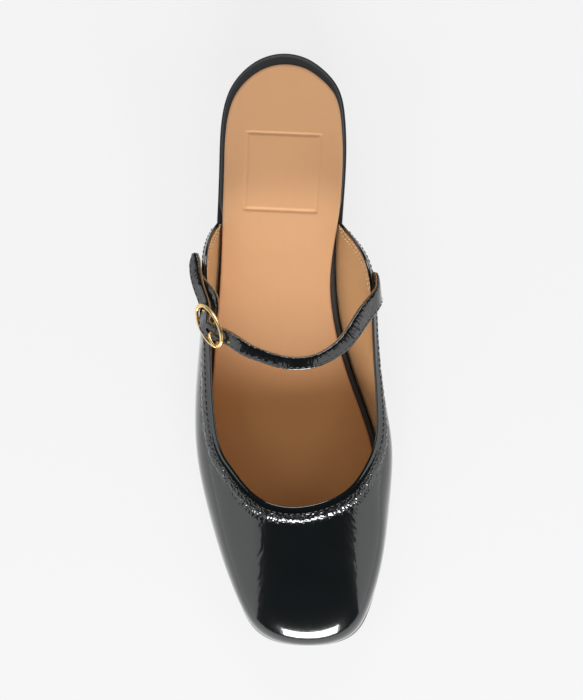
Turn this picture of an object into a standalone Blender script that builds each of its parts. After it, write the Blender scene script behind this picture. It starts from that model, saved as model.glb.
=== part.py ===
"""A backless mary jane flat, the right shoe of a pair, put together as its maker would.

Heel, outsole, wrapped footbed, leather sock, one hollow upper and a buckled instep strap.
Sizes here are millimetres, and a mesh is scaled to metres when its object is made.
The heel is at +Y, the toe at -Y, the outer side at -X and the floor at Z = 0.
"""

import math

import bmesh
import bpy
import numpy as np

for old in list(bpy.data.objects):
    bpy.data.objects.remove(old)

# Driving dimensions
LENGTH = 252.0
BALL_WIDTH = 80.0
TOPLINE_HEIGHT = 42.0
HEEL_HEIGHT = 12.0
HEEL_LENGTH = 60.0
SOLE_THICKNESS = 4.0
TOE_SPRING = 6.5
FOOTBED_THICKNESS = 3.5
SOCK_THICKNESS = 1.9
WALL_THICKNESS = 1.6
TOPLINE_BAND_WIDTH = 7.0
TOPLINE_BAND_HEIGHT = 0.6
STRAP_THICKNESS = 1.6
TAB_THICKNESS = 1.2
BUCKLE_WIRE = 1.6
GAP = 0.3
TO_METRES = 0.001

# How far each layer lies inside the outline of the sole, on the open seat and within the upper
UPPER_INSET = 0.6
FOOTBED_SEAT_INSET = 0.8
FOOTBED_INNER_INSET = 2.8
SOCK_SEAT_INSET = 1.9
SOCK_INNER_INSET = 3.3
SOCK_INNER_MARGIN = 1.6
HEEL_INSET = 1.0

# Rounding of each layer's edges
SOLE_LOWER_ROUND = 0.7
SOLE_UPPER_ROUND = 0.4
FOOTBED_ROUND = 0.8
SOCK_ROUND = 0.6
HEEL_ROUND = 0.6

# Where the wings of the upper begin, from the back of the heel. The footbed draws in over a length
# before them, and the sock between two stations
WING_START = 72.0
FOOTBED_TAPER = 10.0
SOCK_TAPER = (62.0, 104.0)

# How far the sock lies to the inner side and to the toe on the open seat
SOCK_SHIFT = (0.4, 3.1)

# The middle line of the last lies this far from the middle of the whole shoe
MIDDLE_X = 0.097

# Mesh fineness
STATIONS = 44
OUTLINE_SAMPLES = 1600
UPPER_COLUMNS = 76
UPPER_ROWS = 9
SECTION_SAMPLES = 81
BAND_CREST = 0.6

# Outline of the sole: station (share of length), lateral and medial edge (share of ball width)
HEEL_BACK_X = -0.044
TOE_TIP_X = 0.073
SOLE_OUTLINE = (
    (0.009, -0.169, 0.082),
    (0.025, -0.245, 0.158),
    (0.058, -0.328, 0.244),
    (0.110, -0.375, 0.281),
    (0.180, -0.388, 0.286),
    (0.300, -0.404, 0.262),
    (0.440, -0.438, 0.276),
    (0.546, -0.466, 0.360),
    (0.623, -0.477, 0.446),
    (0.700, -0.469, 0.502),
    (0.780, -0.426, 0.499),
    (0.860, -0.364, 0.469),
    (0.930, -0.284, 0.417),
    (0.975, -0.194, 0.344),
)

# Underside of the sole: station (share of length), heel share and toe share of its rise
SOLE_RISE = (
    (0.000, 1.00, 0.00),
    (0.220, 0.97, 0.00),
    (0.340, 0.72, 0.00),
    (0.480, 0.28, 0.00),
    (0.590, 0.03, 0.00),
    (0.640, 0.00, 0.00),
    (0.810, 0.00, 0.00),
    (0.905, 0.00, 0.25),
    (1.000, 0.00, 1.00),
)

# Sections of the upper, from the outer wing round the toe to the inner wing.
# edge: foot of the section on the sole, 0 heel to 1 toe up the outer side, then 1 to 2 down the inner
# facing: way that the section looks, 0 outwards, 90 to the toe, 180 inwards
# top_y, top_x, top_z: its top, as shares of length, ball width and topline height
# flare, rise: pull of the wall at its foot; reach, drop: pull of the wall at its top
UPPER_SECTIONS = (
    # edge, facing, top_y, top_x, top_z, flare, rise, reach, drop
    (0.288, 0.0, 0.284, -0.394, 0.417, 0.4, 0.8, 0.3, 0.8),
    (0.321, 0.0, 0.300, -0.426, 0.620, 1.2, 4.0, 0.6, 3.5),
    (0.354, 0.0, 0.326, -0.450, 0.810, 2.0, 6.5, 0.9, 6.0),
    (0.398, 0.0, 0.369, -0.455, 0.952, 2.8, 9.0, 1.6, 9.0),
    (0.469, 0.0, 0.456, -0.436, 1.000, 4.2, 11.0, 5.0, 11.0),
    (0.559, 0.0, 0.559, -0.420, 0.929, 4.8, 12.0, 9.5, 9.0),
    (0.661, 4.0, 0.648, -0.388, 0.857, 4.4, 12.0, 13.0, 7.0),
    (0.789, 22.0, 0.697, -0.312, 0.845, 3.0, 12.0, 17.0, 7.0),
    (0.945, 58.0, 0.747, -0.161, 0.857, 0.2, 14.0, 36.0, 8.5),
    (1.000, 90.0, 0.761, 0.033, 0.869, 1.5, 15.5, 56.0, 9.5),
    (1.053, 122.0, 0.744, 0.238, 0.857, 0.9, 14.0, 39.0, 8.5),
    (1.203, 160.0, 0.699, 0.383, 0.845, 2.5, 12.0, 15.0, 7.0),
    (1.331, 177.0, 0.643, 0.451, 0.857, 2.6, 12.0, 11.0, 8.0),
    (1.441, 180.0, 0.559, 0.455, 0.929, 4.2, 12.0, 6.0, 10.0),
    (1.531, 180.0, 0.464, 0.443, 1.000, 5.0, 11.0, 3.0, 11.0),
    (1.602, 180.0, 0.380, 0.428, 0.976, 4.2, 9.0, 1.8, 9.0),
    (1.646, 180.0, 0.339, 0.389, 0.857, 3.0, 6.5, 1.2, 6.0),
    (1.679, 180.0, 0.311, 0.332, 0.667, 1.6, 4.0, 0.7, 3.5),
    (1.712, 180.0, 0.287, 0.264, 0.417, 0.4, 0.8, 0.3, 0.8),
)


def spline(knots, values, closed=False):
    """Smooth cubic curve through rows of values: natural at its ends, or closed on itself."""
    knots = np.asarray(knots, float)
    values = np.asarray(values, float)
    count = len(knots)
    steps = np.diff(knots)
    slopes = np.diff(values, axis=0) / steps[:, None]
    system = np.eye(count)
    right = np.zeros_like(values)
    for i in range(1, count - 1):
        system[i, i - 1 : i + 2] = steps[i - 1], 2 * (steps[i - 1] + steps[i]), steps[i]
        right[i] = 6 * (slopes[i] - slopes[i - 1])
    if closed:
        system[0, -1] = -1
        system[-1, [0, 1, -2, -1]] = 2 * steps[0], steps[0], steps[-1], 2 * steps[-1]
        right[-1] = 6 * (slopes[0] - slopes[-1])
    bends = np.linalg.solve(system, right)

    def at(where):
        where = np.asarray(where, float)
        i = np.clip(np.searchsorted(knots, where) - 1, 0, count - 2)
        step = steps[i][:, None]
        after = (where - knots[i])[:, None] / step
        before = 1 - after
        bend = (before**3 - before) * bends[i] + (after**3 - after) * bends[i + 1]
        return before * values[i] + after * values[i + 1] + bend * step**2 / 6

    return at


def steady(knots, values):
    """Smooth curve through a column of values that never swings past them, so a flat stretch stays flat."""
    knots = np.asarray(knots, float)
    values = np.asarray(values, float)
    steps = np.diff(knots)
    slopes = np.diff(values) / steps
    pulls = np.zeros(len(knots))
    for i in range(1, len(knots) - 1):
        if slopes[i - 1] * slopes[i] > 0:
            pulls[i] = 2 / (1 / slopes[i - 1] + 1 / slopes[i])
    pulls[-1] = slopes[-1]

    def at(where):
        where = np.asarray(where, float)
        i = np.clip(np.searchsorted(knots, where) - 1, 0, len(knots) - 2)
        t = (where - knots[i]) / steps[i]
        start = (1 + 2 * t) * (1 - t) ** 2 * values[i] + t * (1 - t) ** 2 * steps[i] * pulls[i]
        end = t**2 * (3 - 2 * t) * values[i + 1] + t**2 * (t - 1) * steps[i] * pulls[i + 1]
        return start + end

    return at


def unit(vectors):
    """The same vectors with a length of one."""
    return vectors / np.linalg.norm(vectors, axis=-1, keepdims=True)


# Shape of the sole

def sole_outline():
    """Points (x, station) round the sole, from the back of the heel up the outer side and down the inner."""
    rows = np.array(SOLE_OUTLINE)
    scale = np.array([BALL_WIDTH, LENGTH])
    heel = np.array([[HEEL_BACK_X, 0.0]])
    toe = np.array([[TOE_TIP_X, 1.0]])
    points = np.vstack([heel, rows[:, [1, 0]], toe, rows[::-1, [2, 0]], heel]) * scale
    lengths = np.linalg.norm(np.diff(points, axis=0), axis=1)
    knots = np.concatenate([[0.0], np.cumsum(lengths)])
    return spline(knots, points, closed=True)(np.linspace(0, knots[-1], OUTLINE_SAMPLES))


OUTLINE = sole_outline()
OUTWARD = unit(np.gradient(OUTLINE, axis=0)[:, ::-1] * np.array([-1.0, 1.0]))

rise_rows = np.array(SOLE_RISE)
heel_share = steady(rise_rows[:, 0] * LENGTH, rise_rows[:, 1])
toe_share = steady(rise_rows[:, 0] * LENGTH, rise_rows[:, 2])


def sole_under(station):
    """Height of the underside of the outsole."""
    station = np.clip(station, 0, LENGTH)
    return heel_share(station) * HEEL_HEIGHT + toe_share(station) * TOE_SPRING


def sole_over(station):
    """Height of the top of the outsole."""
    return sole_under(station) + SOLE_THICKNESS


def ease(values, low, high):
    """0 below low, 1 above high, and a soft step between."""
    t = np.clip((np.asarray(values, float) - low) / (high - low), 0, 1)
    return t * t * (3 - 2 * t)


def inset_outline(inset):
    """The sole's outline moved inwards: inset is a size, or a function of the station and the way outwards."""
    amount = inset(OUTLINE[:, 1], OUTWARD) if callable(inset) else np.full(len(OUTLINE), inset)
    return OUTLINE - OUTWARD * amount[:, None]


def edges_at(outline, shares, reach):
    """Outer and inner edge (x, station) of an outline at shares of its length, or of its part up to reach."""
    tip = int(np.argmax(outline[:, 1]))
    low, high = outline[[0, -1], 1].max(), min(outline[tip, 1], reach)
    stations = low + (high - low) * shares
    sides = []
    for side in (outline[: tip + 1], outline[tip:][::-1]):
        climbing = np.maximum.accumulate(side[:, 1])
        sides.append(np.column_stack([np.interp(stations, climbing, side[:, 0]), stations]))
    ends = [0, -1] if reach >= LENGTH else [0]
    middle = (sides[0] + sides[1]) / 2
    for side in sides:
        side[ends] = middle[ends]
    return sides


def to_world(x, station, z):
    """Points in millimetres, with the shoe's middle at the origin and its toe at -Y."""
    return np.stack(np.broadcast_arrays(x - MIDDLE_X, LENGTH / 2 - station, z), axis=-1)


# Objects

def material(name, colour, roughness, metallic=0.0):
    made = bpy.data.materials.new(name)
    made.use_nodes = True
    shader = made.node_tree.nodes["Principled BSDF"]
    shader.inputs["Base Color"].default_value = (*colour, 1.0)
    shader.inputs["Roughness"].default_value = roughness
    shader.inputs["Metallic"].default_value = metallic
    return made


def make_object(name, points, faces, finish):
    """A closed solid from points in millimetres: doubles merged, faces pointing out."""
    mesh = bpy.data.meshes.new(name)
    mesh.from_pydata([tuple(p * TO_METRES) for p in points], [], faces)
    work = bmesh.new()
    work.from_mesh(mesh)
    bmesh.ops.remove_doubles(work, verts=work.verts, dist=1e-6)
    bmesh.ops.dissolve_degenerate(work, edges=work.edges, dist=1e-7)
    bmesh.ops.triangulate(work, faces=work.faces)
    bmesh.ops.recalc_face_normals(work, faces=work.faces)
    work.to_mesh(mesh)
    work.free()
    mesh.materials.append(finish)
    made = bpy.data.objects.new(name, mesh)
    bpy.context.scene.collection.objects.link(made)
    made.parent = shoe
    return made


def plate(name, levels, finish, reach=LENGTH, stations=STATIONS):
    """A solid with the sole's plan, or with its part up to reach.

    levels are (inset, height function) from the bottom to the top.
    """
    turn = math.pi if reach >= LENGTH else math.pi / 2
    shares = 1 - np.cos(np.linspace(0, turn, stations))
    rings = []
    for inset, height in levels:
        outer, inner = edges_at(inset_outline(inset), shares / shares[-1], reach)
        loop = np.vstack([outer, inner[:0:-1]])
        rings.append(to_world(loop[:, 0], loop[:, 1], height(loop[:, 1])))
    count = len(rings[0])
    faces = []
    for level in range(len(rings) - 1):
        low, high = level * count, (level + 1) * count
        for i in range(count):
            j = (i + 1) % count
            faces.append((low + i, low + j, high + j, high + i))
    for start in (0, (len(rings) - 1) * count):
        for i in range(stations - 1):
            corners = [i, i + 1, count - i - 1, (count - i) % count]
            faces.append(tuple(start + c for c in dict.fromkeys(corners)))
    return make_object(name, np.vstack(rings), faces, finish)


def wall(name, outer, inner, finish):
    """A solid between two grids of points, closed along all four edges."""
    columns, rows = outer.shape[:2]

    def outer_at(i, j):
        return i * rows + j

    def inner_at(i, j):
        return columns * rows + i * rows + j

    faces = []
    for i in range(columns - 1):
        for j in range(rows - 1):
            faces.append((outer_at(i, j), outer_at(i + 1, j), outer_at(i + 1, j + 1), outer_at(i, j + 1)))
            faces.append((inner_at(i, j), inner_at(i, j + 1), inner_at(i + 1, j + 1), inner_at(i + 1, j)))
    for i in range(columns - 1):
        for j in (0, rows - 1):
            faces.append((outer_at(i, j), outer_at(i + 1, j), inner_at(i + 1, j), inner_at(i, j)))
    for j in range(rows - 1):
        for i in (0, columns - 1):
            faces.append((outer_at(i, j), outer_at(i, j + 1), inner_at(i, j + 1), inner_at(i, j)))
    points = np.vstack([outer.reshape(-1, 3), inner.reshape(-1, 3)])
    return make_object(name, points, faces, finish)


# Shape of the upper

FEATHER = inset_outline(UPPER_INSET)
FEATHER_RUN = np.concatenate([[0.0], np.cumsum(np.linalg.norm(np.diff(FEATHER, axis=0), axis=1))])
FEATHER_TIP = int(np.argmax(FEATHER[:, 1]))


def run_at(edge):
    """Distance along the feather line of a section's foot: edge is 0 to 1 up the outer side, then to 2."""
    if edge <= 1:
        side, run, share = FEATHER[: FEATHER_TIP + 1, 1], FEATHER_RUN[: FEATHER_TIP + 1], edge
    else:
        side, run, share = FEATHER[FEATHER_TIP:, 1][::-1], FEATHER_RUN[FEATHER_TIP:][::-1], 2 - edge
    return float(np.interp(share * LENGTH, np.maximum.accumulate(side), run))


section_rows = np.array(UPPER_SECTIONS)
section_runs = [run_at(edge) for edge in section_rows[:, 0]]
section_at = spline(section_runs, section_rows[:, 1:])


def upper_point(run, up):
    """Outer surface of the upper: run along the feather line, up from 0 at the sole to 1 at the topline."""
    run, up = np.broadcast_arrays(np.asarray(run, float), np.asarray(up, float))
    shape = run.shape
    run, up = run.ravel(), up.ravel()[:, None]
    facing, top_y, top_x, top_z, flare, rise, reach, drop = section_at(run).T
    foot_x = np.interp(run, FEATHER_RUN, FEATHER[:, 0])
    foot_station = np.interp(run, FEATHER_RUN, FEATHER[:, 1])
    foot = to_world(foot_x, foot_station, sole_over(foot_station) + GAP)
    top = to_world(top_x * BALL_WIDTH, top_y * LENGTH, top_z * TOPLINE_HEIGHT)
    angle = np.radians(facing)
    ahead = np.column_stack([-np.cos(angle), -np.sin(angle), np.zeros_like(angle)])
    upright = np.array([0.0, 0.0, 1.0])
    low_pull = foot + ahead * flare[:, None] + upright * rise[:, None]
    high_pull = top + ahead * reach[:, None] - upright * drop[:, None]
    down = 1 - up
    points = foot * down**3 + low_pull * 3 * down**2 * up + high_pull * 3 * down * up**2 + top * up**3
    return points.reshape(*shape, 3)


def upper_frame(run, up, step=0.4, lift=0.004):
    """Way along the feather line and way out of the wall, at points of the upper's outer surface."""
    up = np.clip(up, lift, 1 - lift)
    along = unit(upper_point(run + step, up) - upper_point(run - step, up))
    rising = upper_point(run, up + lift) - upper_point(run, up - lift)
    return along, unit(np.cross(along, rising))


def upper_grid():
    """Outer and inner faces of the upper, with the raised band along its topline."""
    runs = np.linspace(section_runs[0], section_runs[-1], UPPER_COLUMNS)
    fine = np.linspace(0, 1, SECTION_SAMPLES)
    outer, inner = [], []
    for run in runs:
        curve = upper_point(run, fine)
        lengths = np.concatenate([[0.0], np.cumsum(np.linalg.norm(np.diff(curve, axis=0), axis=1))])
        band = min(TOPLINE_BAND_WIDTH, lengths[-1] / 2)
        seam = lengths[-1] - band
        places = np.concatenate([
            np.linspace(0, seam, UPPER_ROWS),
            [seam + TOPLINE_BAND_HEIGHT, seam + band * BAND_CREST, lengths[-1]],
        ])
        raised = np.where(places > seam, TOPLINE_BAND_HEIGHT, 0.0)
        up = np.interp(places, lengths, fine)
        base = upper_point(run, up)
        out = upper_frame(np.full(len(up), run), up)[1]
        outer.append(base + out * raised[:, None])
        within = base - out * WALL_THICKNESS
        flat = out[0] * np.array([1.0, 1.0, 0.0])
        within[0] = base[0] - flat / np.linalg.norm(flat) * WALL_THICKNESS
        inner.append(within)
    return np.array(outer), np.array(inner)


# Strap and buckle

# Strap across the instep, from the topline of the inner wing to its free end
STRAP_ROOT = (
    # foot on the sole's edge, share up the wing, width, tilt
    (1.604, 0.72, 6.0, 48.0),
    (1.598, 0.79, 8.4, 48.0),
    (1.587, 0.89, 9.0, 46.0),
    (1.575, 1.00, 8.6, 44.0),
)
STRAP_ROUTE = (
    # x, station, z, width, swing of its width inwards from the shoe's length, tilt of its width above level
    (33.4, 108.2, 47.2, 8.2, -62.0, 46.0),
    (28.4, 115.4, 52.0, 7.6, -60.0, 40.0),
    (23.5, 122.3, 56.4, 6.4, -54.0, 30.0),
    (18.0, 126.9, 59.6, 5.6, -34.0, 16.0),
    (11.8, 130.0, 61.9, 5.2, -16.0, 7.0),
    (4.3, 131.3, 63.0, 5.2, -2.0, 2.0),
    (-3.2, 130.7, 62.2, 5.2, 10.0, 0.0),
    (-10.7, 128.5, 60.0, 5.2, 18.0, 1.0),
    (-18.4, 125.4, 56.6, 5.6, 22.0, 8.0),
    (-28.2, 119.8, 51.6, 6.2, 2.0, 22.0),
    (-32.8, 118.2, 50.4, 6.6, 10.0, 30.0),
    (-35.6, 115.6, 49.2, 7.2, 34.0, 40.0),
    (-35.9, 111.6, 46.9, 6.0, 58.0, 46.0),
    (-36.0, 107.2, 44.8, 5.8, 72.0, 48.0),
    (-38.0, 100.8, 44.6, 5.9, 82.0, 47.0),
    (-39.6, 94.8, 43.3, 6.0, 88.0, 46.0),
    (-40.2, 89.6, 41.5, 5.6, 90.0, 45.0),
    (-40.2, 85.4, 40.1, 2.4, 90.0, 44.0),
)
TAB_ROOT = (
    # foot on the sole's edge, share up the wing, width, tilt
    (0.386, 0.78, 4.2, 46.0),
    (0.393, 0.86, 5.2, 46.0),
    (0.401, 0.93, 5.4, 44.0),
    (0.410, 1.00, 5.4, 42.0),
)
TAB_ROUTE = (
    # x, station, z, width, swing, tilt
    (-34.9, 100.4, 45.0, 5.4, 52.0, 44.0),
    (-32.3, 104.0, 46.2, 5.4, 60.0, 48.0),
    (-31.5, 107.8, 47.0, 5.4, 64.0, 50.0),
    (-32.0, 114.0, 49.3, 5.0, 63.0, 50.0),
)
SEAT_CLEARANCE = 0.5
STRAP_PIECES = 54
TAB_PIECES = 14
STRAP_EDGE_ROUND = 0.4

# Buckle: an oval frame over the strap, with a bar under it that the tab holds and the prong turns on
BUCKLE_CENTRE = (-33.7, 115.7, 49.4)
BUCKLE_LONG = (4.20, 8.35, 3.27)
BUCKLE_SHORT = (3.48, -1.75, 4.76)
BUCKLE_PIECES = 40
BUCKLE_SIDES = 10
BAR_WIRE = 1.2
BAR_SAG = 1.2
BAR_PIECES = 9
PRONG_WIRE = 1.2
PRONG_SIDES = 8
PRONG_LINE = (
    # share of the frame's long half, height over the frame
    (0.17, -1.0),
    (0.28, 0.3),
    (0.41, 1.8),
    (0.64, 2.5),
    (1.06, 1.9),
)
SLOT_ENDS = (0.08, 0.46)
SLOT_WIDTH = 2.0
SLOT_DEPTH = 7.0


def route(root, free, thickness, side=1):
    """Rows of centre, way of the width, and width: up the outside of a wing, then free through the air.

    side is 1 where the width points heelwards or inwards, and -1 where it points the other way.
    """
    seat = TOPLINE_BAND_HEIGHT + SEAT_CLEARANCE + thickness / 2
    rows = []
    for edge, up, width, tilt in root:
        run = run_at(edge)
        along, out = (way[0] for way in upper_frame(np.array([run]), np.array([up])))
        heelward = along * np.sign(along[1])
        climbing = np.cross(out, heelward)
        climbing *= np.sign(climbing[2])
        across = heelward * math.cos(math.radians(tilt)) + climbing * math.sin(math.radians(tilt))
        rows.append(np.concatenate([upper_point(run, up) + out * seat, across * side, [width]]))
    for x, station, z, width, swing, tilt in free:
        swing, tilt = math.radians(swing), math.radians(tilt)
        level = math.cos(tilt)
        across = np.array([math.sin(swing) * level, math.cos(swing) * level, math.sin(tilt)])
        rows.append(np.concatenate([to_world(x, station, z), across * side, [width]]))
    rows = np.array(rows)
    lengths = np.linalg.norm(np.diff(rows[:, :3], axis=0), axis=1)
    knots = np.concatenate([[0.0], np.cumsum(lengths)])
    return knots, spline(knots, rows[:, :6]), steady(knots, rows[:, 6])


def ribbon_frames(path, places):
    """Centre, way along, way across, way out and width of a strap at places along it."""
    knots, line, widths = path
    length = knots[-1]
    step = length / 2000
    centres = line(places)[:, :3]
    ahead = line(np.minimum(places + step, length))[:, :3]
    behind = line(np.maximum(places - step, 0))[:, :3]
    along = unit(ahead - behind)
    guides = line(places)[:, 3:6]
    across = unit(guides - along * np.sum(guides * along, axis=1, keepdims=True))
    return centres, along, across, np.cross(across, along), widths(places)


def ribbon(name, path, pieces, thickness, finish):
    """A flat strap with softened edges along a route."""
    centres, _, across, out, widths = ribbon_frames(path, np.linspace(0, path[0][-1], pieces))
    half = thickness / 2
    soft = STRAP_EDGE_ROUND
    corners = ((-1, 0, -half + soft), (-1, 0, half - soft), (-1, soft, half), (1, -soft, half),
               (1, 0, half - soft), (1, 0, -half + soft), (1, -soft, -half), (-1, soft, -half))
    rings = []
    for side, inward, height in corners:
        rings.append(centres + across * (side * widths / 2 + inward)[:, None] + out * height)
    points = np.stack(rings, axis=1)
    count = len(corners)
    faces = [tuple(range(count)), tuple(range((pieces - 1) * count, pieces * count))]
    for i in range(pieces - 1):
        for j in range(count):
            k = (j + 1) % count
            faces.append((i * count + j, i * count + k, (i + 1) * count + k, (i + 1) * count + j))
    return make_object(name, points.reshape(-1, 3), faces, finish)


def tube(name, centres, radius, sides, finish, closed):
    """A round wire along points, closed on itself or with flat ends."""
    following = np.roll(centres, -1, axis=0) - np.roll(centres, 1, axis=0)
    along = unit(following if closed else np.gradient(centres, axis=0))
    spare = unit(np.cross(centres[1] - centres[0], centres[len(centres) // 3] - centres[0]))
    first = unit(np.cross(along, spare))
    second = np.cross(along, first)
    angles = np.linspace(0, 2 * math.pi, sides, endpoint=False)
    points = [c + radius * (np.cos(angles)[:, None] * a + np.sin(angles)[:, None] * b)
              for c, a, b in zip(centres, first, second)]
    faces = []
    count = len(centres)
    for i in range(count if closed else count - 1):
        for j in range(sides):
            k = (j + 1) % sides
            m = (i + 1) % count
            faces.append((i * sides + j, i * sides + k, m * sides + k, m * sides + j))
    if not closed:
        faces += [tuple(range(sides)), tuple(range((count - 1) * sides, count * sides))]
    return make_object(name, np.vstack(points), faces, finish)


# The shoe

shoe = bpy.data.objects.new("shoe", None)
bpy.context.scene.collection.objects.link(shoe)

patent = material("black_crinkled_patent", (0.012, 0.013, 0.014), 0.12)
sole_black = material("black_sole", (0.020, 0.020, 0.021), 0.45)
rim_black = material("black_wrapped_leather", (0.022, 0.023, 0.023), 0.40)
sock_tan = material("tan_leather", (0.610, 0.370, 0.190), 0.50)
gold = material("gold_plate", (0.900, 0.640, 0.270), 0.18, 1.0)


def within_wings(station):
    """0 on the open seat, 1 between the wings."""
    return ease(station, WING_START - FOOTBED_TAPER, WING_START)


def footbed_inset(station, _outward):
    return FOOTBED_SEAT_INSET + (FOOTBED_INNER_INSET - FOOTBED_SEAT_INSET) * within_wings(station)


def sock_inset(station, outward):
    """Inset of the sock, which lies a little towards the toe and the inner side on the open seat."""
    inner = ease(station, *SOCK_TAPER)
    seat = SOCK_SEAT_INSET - outward @ np.array(SOCK_SHIFT)
    within = SOCK_INNER_INSET + SOCK_INNER_MARGIN * np.clip(outward[:, 0], 0, 1)
    return seat * (1 - inner) + within * inner


def above_sole(height):
    """Height function of a level that follows the top of the outsole."""
    return lambda station: sole_over(station) + height


def softened(inset, extra):
    """Inset function of a rounded edge."""
    return lambda station, outward: inset(station, outward) + extra


plate("heel", (
    (HEEL_INSET + HEEL_ROUND, np.zeros_like),
    (HEEL_INSET, lambda station: np.full_like(station, HEEL_ROUND)),
    (HEEL_INSET, lambda station: sole_under(station) - GAP),
), sole_black, reach=HEEL_LENGTH, stations=STATIONS // 2)
plate("outsole", (
    (SOLE_LOWER_ROUND, sole_under),
    (0.0, lambda station: sole_under(station) + SOLE_LOWER_ROUND),
    (0.0, above_sole(-SOLE_UPPER_ROUND)),
    (SOLE_UPPER_ROUND, sole_over),
), sole_black)
footbed_top = GAP + FOOTBED_THICKNESS
plate("footbed", (
    (footbed_inset, above_sole(GAP)),
    (footbed_inset, above_sole(footbed_top - FOOTBED_ROUND)),
    (softened(footbed_inset, FOOTBED_ROUND), above_sole(footbed_top)),
), rim_black)
sock_top = footbed_top + GAP + SOCK_THICKNESS
plate("insole", (
    (sock_inset, above_sole(footbed_top + GAP)),
    (sock_inset, above_sole(sock_top - SOCK_ROUND)),
    (softened(sock_inset, SOCK_ROUND), above_sole(sock_top)),
), sock_tan)
wall("upper", *upper_grid(), patent)

strap_path = route(STRAP_ROOT, STRAP_ROUTE, STRAP_THICKNESS)
strap = ribbon("strap", strap_path, STRAP_PIECES, STRAP_THICKNESS, patent)

buckle_centre = to_world(*BUCKLE_CENTRE)
frame_long, frame_short = (np.array([x, -station, z]) for x, station, z in (BUCKLE_LONG, BUCKLE_SHORT))
frame_out = unit(np.cross(frame_long, frame_short))
frame_side = unit(np.cross(frame_out, frame_long))
angles = np.linspace(0, 2 * math.pi, BUCKLE_PIECES, endpoint=False)[:, None]
frame_line = buckle_centre + frame_short * np.cos(angles) + frame_long * np.sin(angles)
buckle = tube("buckle_frame", frame_line, BUCKLE_WIRE / 2, BUCKLE_SIDES, gold, closed=True)

shares = np.linspace(-1, 1, BAR_PIECES)[:, None]
bar_line = buckle_centre + frame_short * shares - frame_out * BAR_SAG * (1 - shares**2)
bar = tube("bar", bar_line, BAR_WIRE / 2, BUCKLE_SIDES, gold, closed=False)
bar.hide_render = True
bar.display_type = "WIRE"
bar_join = buckle.modifiers.new("bar", "BOOLEAN")
bar_join.operation = "UNION"
bar_join.object = bar

prong_knots = np.arange(len(PRONG_LINE), dtype=float)
prong_line = spline(prong_knots, PRONG_LINE)(np.linspace(0, prong_knots[-1], 3 * len(PRONG_LINE)))
prong_centres = buckle_centre + frame_long * prong_line[:, :1] + frame_out * prong_line[:, 1:]
tube("buckle_prong", prong_centres, PRONG_WIRE / 2, PRONG_SIDES, gold, closed=False)

slot_points = []
for share in SLOT_ENDS:
    for b in (-SLOT_WIDTH / 2, SLOT_WIDTH / 2):
        for c in (-SLOT_DEPTH / 2, SLOT_DEPTH / 2):
            slot_points.append(buckle_centre + frame_long * share + frame_side * b + frame_out * c)
slot_faces = [(0, 1, 3, 2), (4, 5, 7, 6), (0, 1, 5, 4), (2, 3, 7, 6), (0, 2, 6, 4), (1, 3, 7, 5)]
slot_cutter = make_object("slot_cutter", np.array(slot_points), slot_faces, gold)
slot_cutter.hide_render = True
slot_cutter.display_type = "WIRE"
slot_cut = strap.modifiers.new("prong_slot", "BOOLEAN")
slot_cut.operation = "DIFFERENCE"
slot_cut.object = slot_cutter

tab_path = route(TAB_ROOT, TAB_ROUTE, TAB_THICKNESS, side=-1)
ribbon("buckle_tab", tab_path, TAB_PIECES, TAB_THICKNESS, patent)
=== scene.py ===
"""Looks of a backless mary jane flat, the right shoe of a pair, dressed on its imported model.

Lengths in the formulas are millimetres, and each mesh is made in metres.
The heel is at +Y, the toe at -Y, the outer side at -X and the floor at Z = 0.
A station is a distance from the back of the heel towards the toe.
"""

import math

import bmesh
import bpy
import mathutils
import numpy as np
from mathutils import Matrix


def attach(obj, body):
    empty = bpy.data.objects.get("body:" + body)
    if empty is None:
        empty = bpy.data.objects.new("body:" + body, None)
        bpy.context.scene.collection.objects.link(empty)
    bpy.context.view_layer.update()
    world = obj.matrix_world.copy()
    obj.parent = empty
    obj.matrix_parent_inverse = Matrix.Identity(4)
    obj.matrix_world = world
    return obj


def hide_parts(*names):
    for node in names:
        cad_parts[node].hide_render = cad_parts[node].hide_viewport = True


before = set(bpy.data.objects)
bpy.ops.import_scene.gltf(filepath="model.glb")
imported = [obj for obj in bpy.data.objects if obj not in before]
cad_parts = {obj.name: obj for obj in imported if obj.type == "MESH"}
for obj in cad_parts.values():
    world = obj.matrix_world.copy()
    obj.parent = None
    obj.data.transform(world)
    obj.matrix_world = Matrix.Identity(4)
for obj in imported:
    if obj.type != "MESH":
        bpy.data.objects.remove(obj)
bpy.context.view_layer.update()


# Heel
# A low block of black rubber under the open seat, cut a little inside the outline of the sole.
# It is glued to the outsole, and its foot is rounded so that it doesn't chip.

MM = 0.001
LENGTH = 252.0
BALL_WIDTH = 80.0
HEEL_HEIGHT = 12.0
HEEL_LENGTH = 60.0
HEEL_INSET = 1.0
HEEL_ROUND = 0.6
SOLE_THICKNESS = 4.0
TOE_SPRING = 6.5
GAP = 0.3
MIDDLE_X = 0.097
OUTLINE_SAMPLES = 4000
HEEL_BACK_X = -0.044
TOE_TIP_X = 0.073
SOLE_BLACK = (0.017, 0.017, 0.018, 1.0)
SOLE_WORN = (0.0272, 0.0272, 0.0288, 1.0)

# Mesh clean-up, in metres, and the angle in degrees over which an edge stays sharp
MERGED_WITHIN = 1e-7
NO_LENGTH = 1e-8
SHARP_ANGLE = 50.0

# Strips across the flat end of a layer that has no relief
PLAIN_STRIPS = 8

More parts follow.
